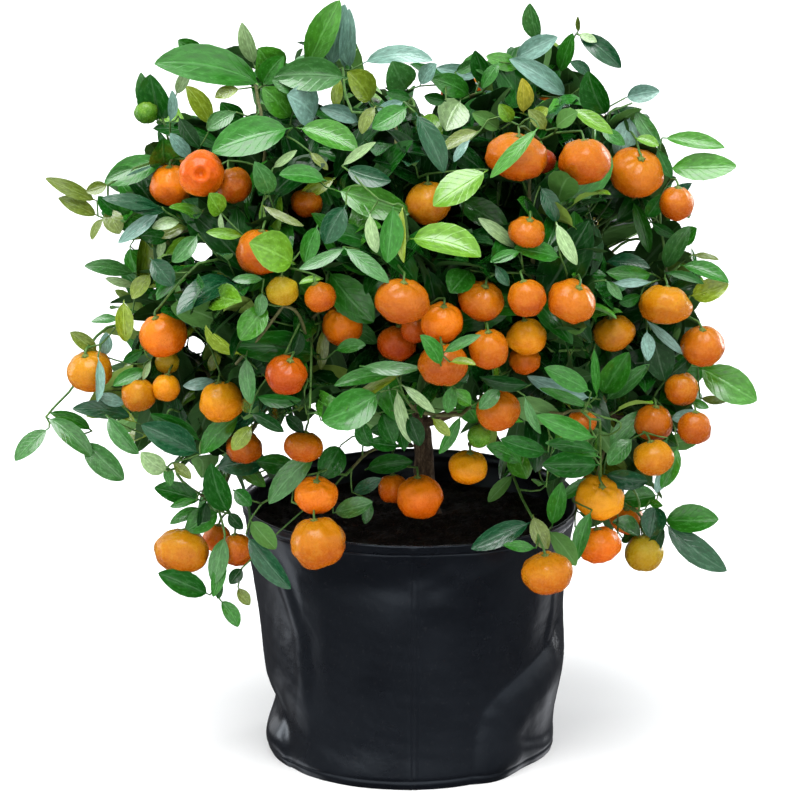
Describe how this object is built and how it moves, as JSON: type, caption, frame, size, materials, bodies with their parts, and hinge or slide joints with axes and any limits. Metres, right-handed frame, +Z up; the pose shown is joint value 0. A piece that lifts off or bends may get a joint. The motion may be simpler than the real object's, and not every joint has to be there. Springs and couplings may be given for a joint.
{
  "type": "calamondin orange tree in a pot",
  "caption": "Small evergreen citrus tree with a dense round leafy crown hung with orange fruit, growing from a short trunk in a soft black film pot filled with dark compost.",
  "frame": {"origin": "centre of the pot's flat underside, on the surface it stands on", "axes": "+Z up; +X to the right and +Y away from someone facing the side with the long low shoot on the left"},
  "size_m": [0.5429, 0.4181, 0.5755],
  "materials": {
    "film": "soft sheen",
    "compost": "damp, crumbly",
    "bark": "rough",
    "leaf": "glossy leaves"
  },
  "bodies": {
    "root": {"pot": "film", "soil": "compost", "trunk": "bark", "bough_leader": "bark", "bough_front_right": "bark", "bough_left": "bark", "bough_back_right": "bark", "bough_front_left": "bark", "bough_back_left": "bark", "bough_front": "bark", "bough_right": "bark", "bough_low_left": "bark", "bough_low_right": "bark", "foliage_upper_front_left": "leaf", "foliage_upper_front": "leaf", "foliage_upper_front_right": "leaf", "foliage_mid_front_left": "leaf", "foliage_mid_front": "leaf", "foliage_mid_front_right": "leaf", "foliage_low_front_left": "leaf", "foliage_low_front": "leaf", "foliage_low_front_right": "leaf", "foliage_top_left": "leaf", "foliage_top_centre_left": "leaf", "foliage_top_centre": "leaf", "foliage_top_right_centre": "leaf", "foliage_top_right": "leaf", "foliage_shoulder_left": "leaf", "foliage_shoulder_right": "leaf", "foliage_mid_left": "leaf", "foliage_mid_right": "leaf", "foliage_low_left": "leaf", "foliage_low_right": "leaf", "foliage_back_top_left": "leaf", "foliage_back_top": "leaf", "foliage_back_top_right": "leaf", "foliage_back_left": "leaf", "foliage_back_centre_left": "leaf", "foliage_back_centre_right": "leaf", "foliage_back_right": "leaf", "foliage_back_low_left": "leaf", "foliage_back_low_centre_left": "leaf", "foliage_back_low_centre_right": "leaf", "foliage_back_low_right": "leaf", "foliage_skirt_front_left": "leaf", "foliage_skirt_left": "leaf", "foliage_skirt_front_right": "leaf", "foliage_skirt_right": "leaf", "shoot_top_left": "leaf", "shoot_top_right": "leaf", "shoot_left_upper": "leaf", "shoot_right_upper": "leaf", "shoot_right_middle": "leaf", "shoot_right_low": "leaf", "shoot_left_low": "leaf", "shoot_left_hanging": "leaf", "shoot_right_hanging": "leaf"}
  },
  "joints": []
}
